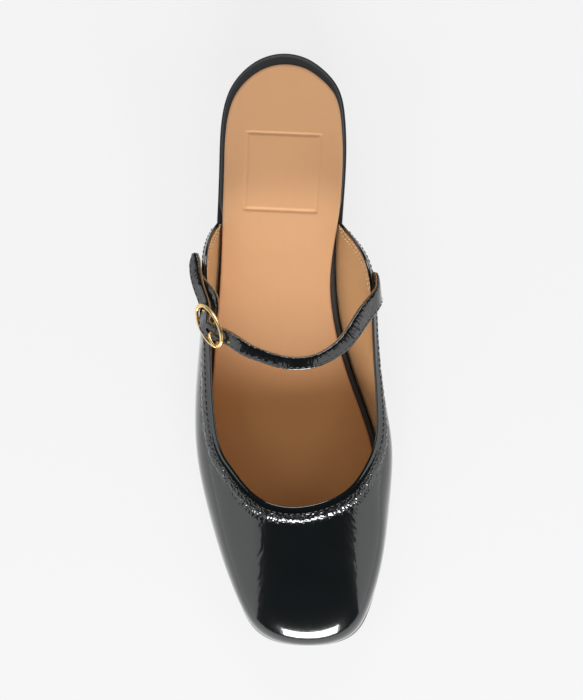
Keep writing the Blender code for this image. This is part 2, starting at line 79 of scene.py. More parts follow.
# Outline of the sole: station (share of length), outer and inner edge (share of ball width)
SOLE_OUTLINE = (
    (0.009, -0.169, 0.082),
    (0.025, -0.245, 0.158),
    (0.058, -0.328, 0.244),
    (0.110, -0.375, 0.281),
    (0.180, -0.388, 0.286),
    (0.300, -0.404, 0.262),
    (0.440, -0.438, 0.276),
    (0.546, -0.466, 0.360),
    (0.623, -0.477, 0.446),
    (0.700, -0.469, 0.502),
    (0.780, -0.426, 0.499),
    (0.860, -0.364, 0.469),
    (0.930, -0.284, 0.417),
    (0.975, -0.194, 0.344),
)

# Underside of the sole: station (share of length), heel share and toe share of its rise
SOLE_RISE = (
    (0.000, 1.00, 0.00),
    (0.220, 0.97, 0.00),
    (0.340, 0.72, 0.00),
    (0.480, 0.28, 0.00),
    (0.590, 0.03, 0.00),
    (0.640, 0.00, 0.00),
    (0.810, 0.00, 0.00),
    (0.905, 0.00, 0.25),
    (1.000, 0.00, 1.00),
)


def spline(knots, values, closed=False):
    """Smooth cubic curve through rows of values: natural at its ends, or closed on itself."""
    knots = np.asarray(knots, float)
    values = np.asarray(values, float)
    count = len(knots)
    steps = np.diff(knots)
    slopes = np.diff(values, axis=0) / steps[:, None]
    system = np.eye(count)
    right = np.zeros_like(values)
    for i in range(1, count - 1):
        system[i, i - 1 : i + 2] = steps[i - 1], 2 * (steps[i - 1] + steps[i]), steps[i]
        right[i] = 6 * (slopes[i] - slopes[i - 1])
    if closed:
        system[0, -1] = -1
        system[-1, [0, 1, -2, -1]] = 2 * steps[0], steps[0], steps[-1], 2 * steps[-1]
        right[-1] = 6 * (slopes[0] - slopes[-1])
    bends = np.linalg.solve(system, right)

    def at(where):
        where = np.asarray(where, float)
        i = np.clip(np.searchsorted(knots, where) - 1, 0, count - 2)
        step = steps[i][:, None]
        after = (where - knots[i])[:, None] / step
        before = 1 - after
        bend = (before**3 - before) * bends[i] + (after**3 - after) * bends[i + 1]
        return before * values[i] + after * values[i + 1] + bend * step**2 / 6

    return at


def steady(knots, values):
    """Smooth curve through a column of values that never swings past them, so a flat stretch stays flat."""
    knots = np.asarray(knots, float)
    values = np.asarray(values, float)
    steps = np.diff(knots)
    slopes = np.diff(values) / steps
    pulls = np.zeros(len(knots))
    for i in range(1, len(knots) - 1):
        if slopes[i - 1] * slopes[i] > 0:
            pulls[i] = 2 / (1 / slopes[i - 1] + 1 / slopes[i])
    pulls[-1] = slopes[-1]

    def at(where):
        where = np.asarray(where, float)
        i = np.clip(np.searchsorted(knots, where) - 1, 0, len(knots) - 2)
        t = (where - knots[i]) / steps[i]
        start = (1 + 2 * t) * (1 - t) ** 2 * values[i] + t * (1 - t) ** 2 * steps[i] * pulls[i]
        end = t**2 * (3 - 2 * t) * values[i + 1] + t**2 * (t - 1) * steps[i] * pulls[i + 1]
        return start + end

    return at


def unit(vectors):
    """The same vectors with a length of one."""
    return vectors / np.linalg.norm(vectors, axis=-1, keepdims=True)


def ease(values, low, high):
    """0 below low, 1 above high, and a soft step between."""
    t = np.clip((np.asarray(values, float) - low) / (high - low), 0, 1)
    return t * t * (3 - 2 * t)


def distances(points):
    """Distance along a line of points to each of them."""
    return np.concatenate([[0.0], np.cumsum(np.linalg.norm(np.diff(points, axis=0), axis=1))])


def sole_outline():
    """Points (x, station) round the sole, from the back of the heel up the outer side and down the inner."""
    rows = np.array(SOLE_OUTLINE)
    heel = np.array([[HEEL_BACK_X, 0.0]])
    toe = np.array([[TOE_TIP_X, 1.0]])
    points = np.vstack([heel, rows[:, [1, 0]], toe, rows[::-1, [2, 0]], heel])
    points *= np.array([BALL_WIDTH, LENGTH])
    knots = distances(points)
    return spline(knots, points, closed=True)(np.linspace(0, knots[-1], OUTLINE_SAMPLES))


OUTLINE = sole_outline()
OUTWARD = unit(np.gradient(OUTLINE, axis=0)[:, ::-1] * np.array([-1.0, 1.0]))
rise_rows = np.array(SOLE_RISE)
heel_share = steady(rise_rows[:, 0] * LENGTH, rise_rows[:, 1])
toe_share = steady(rise_rows[:, 0] * LENGTH, rise_rows[:, 2])


def sole_under(station):
    """Height of the underside of the outsole."""
    station = np.clip(station, 0, LENGTH)
    return heel_share(station) * HEEL_HEIGHT + toe_share(station) * TOE_SPRING


def sole_over(station):
    """Height of the top of the outsole."""
    return sole_under(station) + SOLE_THICKNESS


def inset_outline(inset):
    """The sole's outline moved inwards: inset is a function of the station and the way outwards."""
    return OUTLINE - OUTWARD * inset(OUTLINE[:, 1], OUTWARD)[:, None]


def edges_at(outline, shares, reach):
    """Outer and inner edge (x, station) of an outline at shares of its length, or of its part up to reach."""
    tip = int(np.argmax(outline[:, 1]))
    low, high = outline[[0, -1], 1].max(), min(outline[tip, 1], reach)
    stations = low + (high - low) * shares
    sides = []
    for side in (outline[: tip + 1], outline[tip:][::-1]):
        climbing = np.maximum.accumulate(side[:, 1])
        sides.append(np.column_stack([np.interp(stations, climbing, side[:, 0]), stations]))
    ends = [0, -1] if reach >= LENGTH else [0]
    middle = (sides[0] + sides[1]) / 2
    for side in sides:
        side[ends] = middle[ends]
    return sides


def to_world(x, station, z):
    """Points in millimetres, with the shoe's middle at the origin and its toe at -Y."""
    return np.stack(np.broadcast_arrays(x - MIDDLE_X, LENGTH / 2 - station, z), axis=-1)


def added(name, data):
    """A new object in the scene."""
    made = bpy.data.objects.new(name, data)
    bpy.context.scene.collection.objects.link(made)
    return made


def plain_mesh(made):
    """The mesh of an object as its modifiers leave it."""
    return bpy.data.meshes.new_from_object(made.evaluated_get(bpy.context.evaluated_depsgraph_get()))


def mesh_piece(name, points, faces, finish, node=None, marks=None, cutter=None):
    """A shown piece from points in millimetres, smooth but for its sharp edges.

    marks holds named values, one for each point, that its material reads.
    cutter is an object whose form is cut out of the piece.
    """
    mesh = bpy.data.meshes.new(name)
    mesh.from_pydata((np.asarray(points) * MM).tolist(), [], faces)
    for mark, values in (marks or {}).items():
        mesh.attributes.new(mark, "FLOAT", "POINT").data.foreach_set("value", np.asarray(values, np.float32))
    work = bmesh.new()
    work.from_mesh(mesh)
    bmesh.ops.remove_doubles(work, verts=work.verts, dist=MERGED_WITHIN)
    bmesh.ops.dissolve_degenerate(work, edges=work.edges, dist=NO_LENGTH)
    bmesh.ops.recalc_face_normals(work, faces=work.faces)
    work.to_mesh(mesh)
    work.free()
    mesh.materials.append(finish)
    made = added(name, mesh)
    if cutter:
        cutting = made.modifiers.new("cut", "BOOLEAN")
        cutting.object = cutter
        made.data = plain_mesh(made)
        made.modifiers.remove(cutting)
    made.data.shade_smooth()
    made.data.set_sharp_from_angle(angle=math.radians(SHARP_ANGLE))
    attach(made, "root")
    if node:
        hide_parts(node)


def layer(name, node, levels, finish, stations, reach=LENGTH, across=2, crown=None):
    """A flat piece with the sole's plan, or with its part up to reach, made as rings and two filled ends.

    levels are (inset, height function) from the bottom to the top.
    crown gives the height added to the top at an x and a station, over across strips.
    """
    turn = math.pi if reach >= LENGTH else math.pi / 2
    shares = 1 - np.cos(np.linspace(0, turn, stations))
    shares /= shares[-1]
    rings = []
    for inset, height in levels:
        outer, inner = edges_at(inset_outline(inset), shares, reach)
        loop = np.vstack([outer, inner[:0:-1]])
        rings.append(to_world(loop[:, 0], loop[:, 1], height(loop[:, 1])))
    count = len(rings[0])
    faces = []
    for level in range(len(rings) - 1):
        low, high = level * count, (level + 1) * count
        for i in range(count):
            j = (i + 1) % count
            faces.append((low + i, low + j, high + j, high + i))
    points = rings
    for inset, height, raised in ((*levels[0], None), (*levels[-1], crown)):
        outer, inner = edges_at(inset_outline(inset), shares, reach)
        strips = across if raised else min(across, PLAIN_STRIPS)
        share = np.linspace(0, 1, strips + 1)[None, :, None]
        sheet = outer[:, None] * (1 - share) + inner[:, None] * share
        top = height(sheet[..., 1].ravel()).reshape(sheet.shape[:2])
        if raised:
            top = top + raised(sheet[..., 0], sheet[..., 1])
        start = sum(len(block) for block in points)
        points = points + [to_world(sheet[..., 0], sheet[..., 1], top).reshape(-1, 3)]
        for i in range(stations - 1):
            for j in range(strips):
                a = start + i * (strips + 1) + j
                b = a + strips + 1
                faces.append((a, a + 1, b + 1, b))
    mesh_piece(name, np.vstack(points), faces, finish, node)


def rounded(inset, size, height, up, steps=5):
    """Levels of an edge with a quarter round: it starts upright and ends flat, or the other way at a foot."""
    levels = []
    for turn in np.linspace(0, math.pi / 2, steps):
        inward = size * (1 - math.cos(turn)) if up else size * (1 - math.sin(turn))
        lift = size * math.sin(turn) if up else size * (1 - math.cos(turn))
        levels.append((
            lambda station, outward, inward=inward: inset(station, outward) + inward,
            lambda station, lift=lift: height(station) + lift,
        ))
    return levels


def same(value):
    """A function of the station that is the same all along."""
    return lambda station, _outward=None: np.full_like(station, value)


def above_sole(height):
    """Height function of a level that follows the top of the outsole."""
    return lambda station: sole_over(station) + height


def new_finish(name):
    """A material with its node tree and its shader."""
    made = bpy.data.materials.new(name)
    made.use_nodes = True
    return made, made.node_tree, made.node_tree.nodes["Principled BSDF"]


def fill(tree, node, inputs):
    """Fills a node's inputs: a socket is linked, and a value is set."""
    for key, value in inputs.items():
        if isinstance(value, bpy.types.NodeSocket):
            tree.links.new(value, node.inputs[key])
        else:
            node.inputs[key].default_value = value


def add_node(tree, kind, inputs=None, **settings):
    """A node with its settings made and its inputs filled."""
    node = tree.nodes.new(kind)
    for key, value in settings.items():
        setattr(node, key, value)
    fill(tree, node, inputs or {})
    return node


def place(tree):
    """Object coordinates in metres."""
    return add_node(tree, "ShaderNodeTexCoord").outputs["Object"]


def noise(tree, size, detail=2.0, roughness=0.5, warp=0.0, where=None, kind="FBM"):
    """Noise whose lumps are about that size in millimetres."""
    made = add_node(tree, "ShaderNodeTexNoise", {
        "Vector": where or place(tree),
        "Scale": 1 / (size * MM),
        "Detail": detail,
        "Roughness": roughness,
        "Distortion": warp,
    }, noise_type=kind)
    return made.outputs["Fac"]


def mixed(tree, share, first, second):
    """A colour between two, by a share. The node's colours are its inputs 6 and 7 and its output 2."""
    return add_node(tree, "ShaderNodeMix", {0: share, 6: first, 7: second}, data_type="RGBA").outputs[2]


def spread(tree, value, low, high):
    """A 0 to 1 value spread over another range."""
    inputs = {"Value": value, "To Min": low, "To Max": high}
    return add_node(tree, "ShaderNodeMapRange", inputs).outputs["Result"]


def bumped(tree, height, depth, before=None):
    """A normal with relief of that depth in millimetres, on top of another normal."""
    inputs = {"Height": height, "Distance": depth * MM, "Strength": 1.0}
    if before:
        inputs["Normal"] = before
    return add_node(tree, "ShaderNodeBump", inputs).outputs["Normal"]


def clouded_finish(name, colour, worn, cloud, roughness, grain, depth, metal=0.0):
    """Two close tones in soft clouds, which also vary the gloss, over a fine relief.

    cloud and grain are the size in millimetres and the detail of their noise.
    """
    made, tree, shader = new_finish(name)
    clouds = noise(tree, *cloud)
    fill(tree, shader, {
        "Base Color": mixed(tree, clouds, colour, worn),
        "Roughness": spread(tree, clouds, *roughness),
        "Normal": bumped(tree, noise(tree, *grain), depth),
        "Metallic": metal,
    })
    return made


sole_rubber = clouded_finish("black_sole_rubber", SOLE_BLACK, SOLE_WORN, cloud=(9.0, 2.0),
                             roughness=(0.42, 0.58), grain=(0.7, 1.0), depth=0.05)
heel_levels = rounded(same(HEEL_INSET), HEEL_ROUND, same(0.0), up=False)
heel_levels.append((same(HEEL_INSET), lambda station: sole_under(station) - GAP))
layer("heel_block", "heel", heel_levels, sole_rubber, stations=120, reach=HEEL_LENGTH)


# Outsole
# One thin sheet of black rubber with toe spring and a raised waist, trimmed to the outline of the last.
# Its edge is buffed round above and below, and the upper is glued down just inside it.

SOLE_LOWER_ROUND = 0.7
SOLE_UPPER_ROUND = 0.4

outsole_levels = rounded(same(0.0), SOLE_LOWER_ROUND, sole_under, up=False)
outsole_levels += rounded(same(0.0), SOLE_UPPER_ROUND, above_sole(-SOLE_UPPER_ROUND), up=True)
layer("sole_sheet", "outsole", outsole_levels, sole_rubber, stations=260, across=8)


# Footbed
# The insole board, wrapped in thin black leather whose turned edge shows as a rim round the open seat.
# It is glued on the outsole, and draws in between the wings to leave room for the wall of the upper.

FOOTBED_THICKNESS = 3.5
FOOTBED_ROUND = 1.1
FOOTBED_SEAT_INSET = 0.8
FOOTBED_INNER_INSET = 2.8
WING_START = 72.0
FOOTBED_TAPER = 10.0
RIM_BLACK = (0.020, 0.021, 0.021, 1.0)
RIM_WORN = (0.048, 0.050, 0.050, 1.0)


def within_wings(station):
    """0 on the open seat, 1 between the wings."""
    return ease(station, WING_START - FOOTBED_TAPER, WING_START)


def footbed_inset(station, _outward):
    return FOOTBED_SEAT_INSET + (FOOTBED_INNER_INSET - FOOTBED_SEAT_INSET) * within_wings(station)


def pores(tree, size):
    """Pores and cells of leather grain, of about that size in millimetres."""
    inputs = {"Vector": place(tree), "Scale": 1 / (size * MM), "Randomness": 1.0}
    return add_node(tree, "ShaderNodeTexVoronoi", inputs, feature="F1").outputs["Distance"]


def grained_finish(name, colour, worn, roughness, grain, depth):
    """Leather with a pebbled grain: two close tones in soft clouds, duller in the hollows."""
    made, tree, shader = new_finish(name)
    cell = pores(tree, grain)
    fine = bumped(tree, noise(tree, grain / 2), depth / 2)
    fill(tree, shader, {
        "Base Color": mixed(tree, noise(tree, size=14.0, detail=3.0), colour, worn),
        "Roughness": spread(tree, cell, *roughness),
        "Normal": bumped(tree, cell, depth, fine),
    })
    return made


def slab(inset, low, thickness, edge_round):
    """Levels of a layer over the outsole: upright sides and a rounded upper edge."""
    round_foot = above_sole(low + thickness - edge_round)
    return [(inset, above_sole(low)), *rounded(inset, edge_round, round_foot, up=True, steps=8)]


rim_leather = grained_finish("black_rim_leather", RIM_BLACK, RIM_WORN, roughness=(0.46, 0.62),
                             grain=0.5, depth=0.035)
footbed_levels = slab(footbed_inset, GAP, FOOTBED_THICKNESS, FOOTBED_ROUND)
layer("wrapped_footbed", "footbed", footbed_levels, rim_leather, stations=260, across=8)


# Insole
# The sock, a sheet of tan calf on thin foam, glued on the footbed with its cut edge pressed down.
# A plain square is pressed into it at the seat, and a faint line runs along its middle under the strap.

SOCK_THICKNESS = 1.9
SOCK_ROUND = 0.9
SOCK_SEAT_INSET = 1.9
SOCK_INNER_INSET = 3.3
SOCK_INNER_MARGIN = 1.6
SOCK_TAPER = (62.0, 104.0)
SOCK_SHIFT = (0.4, 3.1)
SOCK_TAN = (0.600, 0.316, 0.150, 1.0)
SOCK_PALE = (0.660, 0.362, 0.182, 1.0)
SOCK_DEEP = (0.500, 0.240, 0.100, 1.0)
# Deeper, more saturated tan of the forefoot: painted shade, standing in for the shade under the vamp
SOCK_PAINTED_SHADE = (0.530, 0.244, 0.082, 1.0)

# Y of the ends of the stretch where the sock turns to a deeper, more saturated tan, which is painted shade
# for the forefoot under the vamp, and how its fibres stretch the noise
SOCK_PAINTED_SHADE_FROM = (8.0, -26.0)
SOCK_FIBRES = (1.0, 0.12, 1.0)

# The stamped square: its corners (x, station), the flat share of its groove, and its width and depth
STAMP_CORNERS = ((-18.7, 33.8), (12.2, 35.1), (10.3, 67.4), (-20.0, 66.1))
GROOVE_FLAT = 0.2
STAMP_WIDTH = 0.95
STAMP_DEPTH = 0.30

# The middle line: its ends (x, station), and its width and depth
CENTRE_LINE = ((-5.8, 101.0), (-5.2, 139.0))
CENTRE_LINE_WIDTH = 0.5
CENTRE_LINE_DEPTH = 0.12


def sock_inset(station, outward):
    """Inset of the sock, which lies a little towards the toe and the inner side on the open seat."""
    inner = ease(station, *SOCK_TAPER)
    seat = SOCK_SEAT_INSET - outward @ np.array(SOCK_SHIFT)
    within = SOCK_INNER_INSET + SOCK_INNER_MARGIN * np.clip(outward[:, 0], 0, 1)
    return seat * (1 - inner) + within * inner


def groove(x, station, start, end, width):
    """1 on the middle of a pressed line between two points, 0 outside its width."""
    start, end = np.array(start), np.array(end)
    along = end - start
    share = ((x - start[0]) * along[0] + (station - start[1]) * along[1]) / (along @ along)
    share = np.clip(share, 0, 1)
    away = np.hypot(x - start[0] - share * along[0], station - start[1] - share * along[1])
    return 1 - ease(away, width * GROOVE_FLAT, width)


def sock_relief(x, station):
    """Height of the pressed lines over the sock's flat top."""
    pressed = np.zeros_like(x)
    for start, end in zip(STAMP_CORNERS, STAMP_CORNERS[1:] + STAMP_CORNERS[:1]):
        pressed = np.maximum(pressed, groove(x, station, start, end, STAMP_WIDTH))
    line = groove(x, station, *CENTRE_LINE, CENTRE_LINE_WIDTH)
    return -STAMP_DEPTH * pressed - CENTRE_LINE_DEPTH * line


def sock_finish(name):
    """Smooth vegetable-tanned calf: fine pores, faint lengthwise fibres and soft darker clouds, with painted
    shade that deepens the tan over the forefoot under the vamp.
    """
    made, tree, shader = new_finish(name)
    cloud = noise(tree, size=32.0, detail=4.0, roughness=0.6)
    fibres = add_node(tree, "ShaderNodeMapping", {"Vector": place(tree), "Scale": SOCK_FIBRES})
    streak = noise(tree, size=1.6, detail=3.0, where=fibres.outputs["Vector"])
    body = mixed(tree, spread(tree, cloud, low=0.15, high=0.85), SOCK_TAN, SOCK_PALE)
    body = mixed(tree, spread(tree, streak, low=-0.02, high=0.08), body, SOCK_DEEP)
    # Painted shade: the sock turns to the deeper tan over the forefoot, where the vamp shades it
    painted_shade = add_node(tree, "ShaderNodeMapRange", {
        "Value": add_node(tree, "ShaderNodeSeparateXYZ", {"Vector": place(tree)}).outputs["Y"],
        "From Min": SOCK_PAINTED_SHADE_FROM[0] * MM,
        "From Max": SOCK_PAINTED_SHADE_FROM[1] * MM,
    }, interpolation_type="SMOOTHSTEP").outputs["Result"]
    fine = bumped(tree, streak, depth=0.008)
    fill(tree, shader, {
        "Base Color": mixed(tree, painted_shade, body, SOCK_PAINTED_SHADE),
        "Roughness": spread(tree, cloud, low=0.50, high=0.62),
        "Normal": bumped(tree, pores(tree, size=0.42), depth=0.022, before=fine),
        "Specular IOR Level": 0.35,
        "Sheen Weight": 0.12,
        "Sheen Roughness": 0.5,
    })
    return made


sock_leather = sock_finish("tan_sock_calf")
sock_levels = slab(sock_inset, GAP + FOOTBED_THICKNESS + GAP, SOCK_THICKNESS, SOCK_ROUND)
layer("leather_sock", "insole", sock_levels, sock_leather, stations=700, across=110,
      crown=sock_relief)


# Upper
# Vamp and both wings, cut in one from black crinkled patent leather and pulled down over the last.
# The topline is folded in over a raised band and stitched, and the foot is lasted under onto the sole.

TOPLINE_HEIGHT = 42.0
WALL_THICKNESS = 1.6
UPPER_INSET = 0.6
BAND_WIDTH = 7.0
BAND_HEIGHT = 0.6
BAND_SLOPE = 2.0
ROLL_HEIGHT = 0.9
ROLL_SMOOTH = (2.2, 3.6)
ROLL_IN = 0.8
ROLL_IN_FROM = 3.4
TURNED_IN = 1.5
SHELL_THICKNESS = 1.0
SEAM_FROM_EDGE = 2.9
SEAM_WIDTH = 0.55
SEAM_DEPTH = 0.14
LASTED_HEIGHT = 4.0
TURNED_STEP = 0.1
TIP_RELIEF = 1.2
UPPER_COLUMNS = 700
SECTION_SAMPLES = 161
VAMP_ROWS = 56
BAND_ROWS = 34
ROLL_ROWS = 11
TURNED_ROWS = 5
BACK_ROWS = 12
CRINKLE_SIZE = 2.6
CRINKLE_DEPTH_BAND = 0.13
CRINKLE_DEPTH_VAMP = 0.012
CRINKLE_WAVES = 28
CRINKLE_SEED = 7
CRINKLE_SPREAD = (0.6, 1.7)
CRINKLE_FADE = (6.5, 9.0)
PATENT_BLACK = (0.0018, 0.0027, 0.0029, 1.0)
PATENT_GREY = (0.0040, 0.0054, 0.0058, 1.0)

# Sections of the upper, from the outer wing round the toe to the inner wing.
# edge: foot of the section on the sole, 0 heel to 1 toe up the outer side, then 1 to 2 down the inner
# facing: way that the section looks, 0 outwards, 90 to the toe, 180 inwards
# top_y, top_x, top_z: its top, as shares of length, ball width and topline height
# flare, rise: pull of the wall at its foot; reach, drop: pull of the wall at its top
UPPER_SECTIONS = (
    # edge, facing, top_y, top_x, top_z, flare, rise, reach, drop
    (0.288, 0.0, 0.284, -0.394, 0.417, 0.4, 0.8, 0.3, 0.8),
    (0.321, 0.0, 0.300, -0.426, 0.620, 1.2, 4.0, 0.6, 3.5),
    (0.354, 0.0, 0.326, -0.450, 0.810, 2.0, 6.5, 0.9, 6.0),
    (0.398, 0.0, 0.369, -0.455, 0.952, 2.8, 9.0, 1.6, 9.0),
    (0.469, 0.0, 0.456, -0.436, 1.000, 4.2, 11.0, 5.0, 11.0),
    (0.559, 0.0, 0.559, -0.420, 0.929, 4.8, 12.0, 9.5, 9.0),
    (0.661, 4.0, 0.648, -0.388, 0.857, 4.4, 12.0, 13.0, 7.0),
    (0.789, 22.0, 0.697, -0.312, 0.845, 3.0, 12.0, 17.0, 7.0),
    (0.945, 58.0, 0.747, -0.161, 0.857, 0.2, 14.0, 36.0, 8.5),
    (1.000, 90.0, 0.761, 0.033, 0.869, 1.5, 15.5, 56.0, 9.5),
    (1.053, 122.0, 0.744, 0.238, 0.857, 0.9, 14.0, 39.0, 8.5),
    (1.203, 160.0, 0.699, 0.383, 0.845, 2.5, 12.0, 15.0, 7.0),
    (1.331, 177.0, 0.643, 0.451, 0.857, 2.6, 12.0, 11.0, 8.0),
    (1.441, 180.0, 0.559, 0.455, 0.929, 4.2, 12.0, 6.0, 10.0),
    (1.531, 180.0, 0.464, 0.443, 1.000, 5.0, 11.0, 3.0, 11.0),
    (1.602, 180.0, 0.380, 0.428, 0.976, 4.2, 9.0, 1.8, 9.0),
    (1.646, 180.0, 0.339, 0.389, 0.857, 3.0, 6.5, 1.2, 6.0),
    (1.679, 180.0, 0.311, 0.332, 0.667, 1.6, 4.0, 0.7, 3.5),
    (1.712, 180.0, 0.287, 0.264, 0.417, 0.4, 0.8, 0.3, 0.8),
)

# Soft creases of the vamp: middle (x, station), turn from the shoe's length, half length, half width, height
CREASES = (
    # x, station, turn, half_length, half_width, height
    (5.8, 237.0, 24.0, 4.5, 0.9, 0.10),
    (-5.0, 219.5, 82.0, 4.0, 1.2, -0.05),
    (-37.5, 176.0, 8.0, 13.0, 4.0, -0.28),
    (38.5, 184.0, -6.0, 12.0, 3.6, -0.22),
)

FEATHER = inset_outline(same(UPPER_INSET))
FEATHER_RUN = distances(FEATHER)
FEATHER_TIP = int(np.argmax(FEATHER[:, 1]))


def run_at(edge):
    """Distance along the feather line of a section's foot: edge is 0 to 1 up the outer side, then to 2."""
    if edge <= 1:
        side, run, share = FEATHER[: FEATHER_TIP + 1, 1], FEATHER_RUN[: FEATHER_TIP + 1], edge
    else:
        side, run, share = FEATHER[FEATHER_TIP:, 1][::-1], FEATHER_RUN[FEATHER_TIP:][::-1], 2 - edge
    return float(np.interp(share * LENGTH, np.maximum.accumulate(side), run))


section_rows = np.array(UPPER_SECTIONS)
section_runs = [run_at(edge) for edge in section_rows[:, 0]]
section_at = spline(section_runs, section_rows[:, 1:])


def upper_point(run, up):
    """Outer surface of the upper: run along the feather line, up from 0 at the sole to 1 at the topline."""
    run, up = np.broadcast_arrays(np.asarray(run, float), np.asarray(up, float))
    shape = run.shape
    run, up = run.ravel(), up.ravel()[:, None]
    facing, top_y, top_x, top_z, flare, rise, reach, drop = section_at(run).T
    foot_x = np.interp(run, FEATHER_RUN, FEATHER[:, 0])
    foot_station = np.interp(run, FEATHER_RUN, FEATHER[:, 1])
    foot = to_world(foot_x, foot_station, sole_over(foot_station) + GAP)
    top = to_world(top_x * BALL_WIDTH, top_y * LENGTH, top_z * TOPLINE_HEIGHT)
    angle = np.radians(facing)
    ahead = np.column_stack([-np.cos(angle), -np.sin(angle), np.zeros_like(angle)])
    upright = np.array([0.0, 0.0, 1.0])
    low_pull = foot + ahead * flare[:, None] + upright * rise[:, None]
    high_pull = top + ahead * reach[:, None] - upright * drop[:, None]
    down = 1 - up
    points = foot * down**3 + low_pull * 3 * down**2 * up + high_pull * 3 * down * up**2 + top * up**3
    return points.reshape(*shape, 3)


def upper_frame(run, up, step=0.4, lift=0.004):
    """Way along the feather line and way out of the wall, at points of the upper's outer surface."""
    up = np.clip(up, lift, 1 - lift)
    along = unit(upper_point(run + step, up) - upper_point(run - step, up))
    rising = upper_point(run, up + lift) - upper_point(run, up - lift)
    return along, unit(np.cross(along, rising))


upper_runs = np.linspace(section_runs[0], section_runs[-1], UPPER_COLUMNS)
section_ups = np.linspace(0, 1, SECTION_SAMPLES)
section_lines = upper_point(upper_runs[:, None], section_ups[None, :])
section_steps = np.linalg.norm(np.diff(section_lines, axis=1), axis=2)
section_lengths = np.concatenate([np.zeros((UPPER_COLUMNS, 1)), np.cumsum(section_steps, axis=1)], axis=1)
wall_heights = section_lengths[:, -1]
edge_scale = np.minimum(1, wall_heights / (2 * BAND_WIDTH))


def wall_points(rows):
    """Points, ways out and distances from the topline on rows of (distance, share to the foot, offset).

    Near the low tips of the wings the distances shrink with the wall's height.
    Just over the foot the ways out turn level.
    """
    near, share, offset = np.array(rows).T
    distance = near * edge_scale[:, None] * (1 - share) + share * wall_heights[:, None]
    up = np.array([np.interp(wall - gone, lengths, section_ups)
                   for wall, gone, lengths in zip(wall_heights, distance, section_lengths)])
    run = np.broadcast_to(upper_runs[:, None], up.shape)
    out = upper_frame(run, up)[1]
    level = unit(out * np.array([1.0, 1.0, 0.0]))
    near_foot = 1 - ease(wall_heights[:, None] - distance, 0, LASTED_HEIGHT)[..., None]
    out = unit(out * (1 - near_foot) + level * near_foot)
    points = upper_point(run, up) + out * offset[:, None]
    return points, out, distance / edge_scale[:, None]


def crumple(points, size):
    """Crinkled relief from -1 to 1: sharp little ridges of about that size, from waves in many directions."""
    random = np.random.default_rng(CRINKLE_SEED)
    ways = unit(random.normal(size=(CRINKLE_WAVES, 3))) * (2 * math.pi / size)
    ways = ways * random.uniform(*CRINKLE_SPREAD, (CRINKLE_WAVES, 1))
    starts = random.uniform(0, 2 * math.pi, CRINKLE_WAVES)
    swell = np.cos(points @ ways.T + starts).sum(axis=-1) / math.sqrt(CRINKLE_WAVES / 2)
    return 1 - 2 * np.minimum(np.abs(swell), 1)


def crease_height(points):
    """Height of the soft creases at points of the vamp."""
    x = points[..., 0] + MIDDLE_X
    station = LENGTH / 2 - points[..., 1]
    total = np.zeros_like(x)
    for middle_x, middle_station, turn, half_length, half_width, height in CREASES:
        cos, sin = math.cos(math.radians(turn)), math.sin(math.radians(turn))
        along = (x - middle_x) * sin + (station - middle_station) * cos
        across = (x - middle_x) * cos - (station - middle_station) * sin
        total += height * np.exp(-((across / half_width) ** 2) - (along / half_length) ** 2)
    return total


def closed_wall(points):
    """Faces of a wall whose sections are closed loops of points, with both of its ends filled."""
    columns, rows = points.shape[:2]
    faces = [tuple(range(rows)), tuple(range((columns - 1) * rows, columns * rows))]
    for i in range(columns - 1):
        for j in range(rows):
            k = (j + 1) % rows
            faces.append((i * rows + j, i * rows + k, (i + 1) * rows + k, (i + 1) * rows + j))
    return faces


def patent_finish(name):
    """Crinkled patent: black leather under a thick clear film, wrinkled finely where it is folded."""
    made, tree, shader = new_finish(name)
    folded = add_node(tree, "ShaderNodeAttribute", attribute_name="crinkle").outputs["Fac"]
    ridges = noise(tree, size=1.5, detail=3.0, roughness=0.55, warp=0.4, kind="RIDGED_MULTIFRACTAL")
    share = spread(tree, folded, low=0.10, high=1.0)
    height = add_node(tree, "ShaderNodeMath", {0: ridges, 1: share}, operation="MULTIPLY").outputs["Value"]
    soft = bumped(tree, noise(tree, size=2.2), depth=0.012)
    relief = bumped(tree, height, depth=0.05, before=soft)
    fill(tree, shader, {
        "Base Color": mixed(tree, noise(tree, size=22.0, detail=3.0), PATENT_BLACK, PATENT_GREY),
        "Roughness": spread(tree, folded, low=0.16, high=0.26),
        "Normal": relief,
        "Coat Normal": relief,
        "Coat Weight": 1.0,
        "Coat Roughness": 0.04,
        "Coat IOR": 1.5,
    })
    return made


def wall_piece(name, points, crinkle, finish, node=None, cutter=None):
    """A shown wall of closed sections, with a share that says how crinkled its leather is."""
    marks = {"crinkle": np.broadcast_to(crinkle, points.shape[:2]).ravel()}
    mesh_piece(name, points.reshape(-1, 3), closed_wall(points), finish, node, marks, cutter)


patent = patent_finish("black_crinkled_patent")
band_foot = BAND_WIDTH + BAND_SLOPE
shell_rows = [(band_foot, share, 0.0) for share in np.linspace(1, 0, VAMP_ROWS)]
shell_rows += [(distance, 0.0, 0.0) for distance in np.linspace(band_foot, ROLL_HEIGHT, BAND_ROWS)[1:]]
outer_rows = len(shell_rows)
roll_middle = (BAND_HEIGHT - ROLL_IN - WALL_THICKNESS) / 2
roll_half = (BAND_HEIGHT - ROLL_IN + WALL_THICKNESS) / 2
for turn in np.linspace(0, math.pi, ROLL_ROWS)[1:-1]:
    shell_rows.append((ROLL_HEIGHT * (1 - math.sin(turn)), 0.0, roll_middle + roll_half * math.cos(turn)))
turned_distances = np.linspace(ROLL_HEIGHT, TURNED_IN, TURNED_ROWS)
shell_rows += [(distance, 0.0, -WALL_THICKNESS) for distance in turned_distances]
back_top = TURNED_IN + TURNED_STEP
shell_rows += [(back_top, share, -SHELL_THICKNESS) for share in np.linspace(0, 1, BACK_ROWS)]
shell, shell_out, from_edge = wall_points(shell_rows)
face = shell[:, :outer_rows]
from_edge = from_edge[:, :outer_rows]
